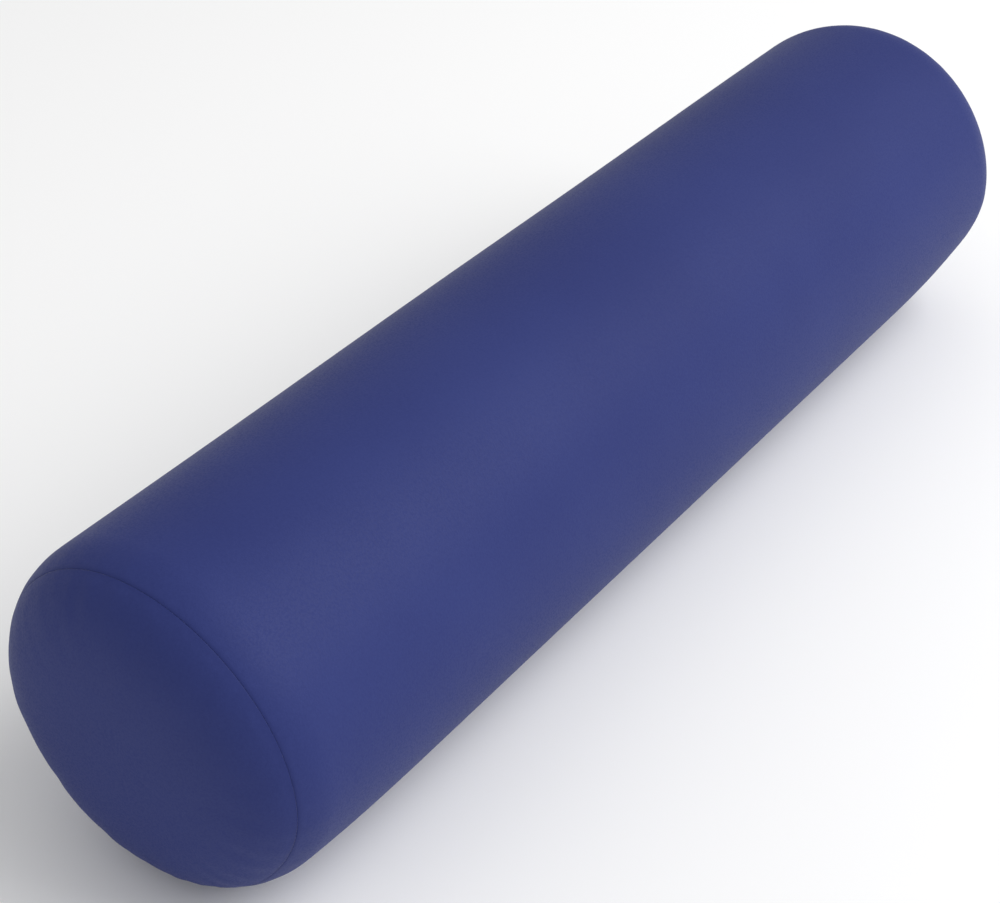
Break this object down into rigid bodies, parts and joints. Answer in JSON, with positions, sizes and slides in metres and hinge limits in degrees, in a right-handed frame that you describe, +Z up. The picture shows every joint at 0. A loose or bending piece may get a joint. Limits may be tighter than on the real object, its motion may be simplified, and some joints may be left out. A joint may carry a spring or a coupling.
{
  "type": "massage bolster roll",
  "caption": "Long round foam bolster in a smooth leatherette cover, with sewn-in round ends, rounded edges and a zip along the back for taking the foam out.",
  "frame": {"origin": "on the surface the roll rests on, under the middle of its length and its axis", "axes": "+X along the roll, +Y towards the back, where the zip is, +Z up"},
  "size_m": [0.6, 0.1522, 0.1494],
  "materials": {
    "leatherette": "matte royal blue coated leatherette with a very fine grain",
    "thread": "bonded polyester sewing thread",
    "zip_tape": "woven polyester tape",
    "zip_coil": "dyed nylon coil",
    "zip_metal": "satin nickel plating",
    "wadding": "white polyester wadding",
    "foam": "open-cell polyurethane foam"
  },
  "bodies": {
    "roll": {"cover_body": "leatherette", "end_panel_left": "leatherette", "end_panel_right": "leatherette", "end_seam_thread_left": "thread", "end_seam_thread_right": "thread", "closing_seam_thread_left": "thread", "closing_seam_thread_right": "thread", "wadding_pad_left": "wadding", "wadding_pad_right": "wadding", "wadding_sleeve": "wadding", "foam_core": "foam", "zip_tape_upper": "zip_tape", "zip_tape_lower": "zip_tape", "zip_coil_upper": "zip_coil", "zip_coil_lower": "zip_coil", "zip_top_stop_upper": "zip_metal", "zip_top_stop_lower": "zip_metal", "zip_bottom_stop": "zip_metal", "zip_topstitch_upper": "thread", "zip_topstitch_lower": "thread", "zip_bartack_left": "thread", "zip_bartack_right": "thread"},
    "slider": {"zip_slider": "zip_metal"},
    "pull": {"zip_pull": "zip_metal"}
  },
  "joints": [
    {"name": "zip_opens", "type": "slide", "parent": "roll", "child": "slider", "axis": [1, 0, 0], "range_m": [0, 0.4664]},
    {"name": "pull_swings", "type": "hinge", "parent": "slider", "child": "pull", "pos_m": [-0.2332, 0.07471, 0.09438], "axis": [0, -0.2588, 0.9659], "range_deg": [0, 180]}
  ]
}
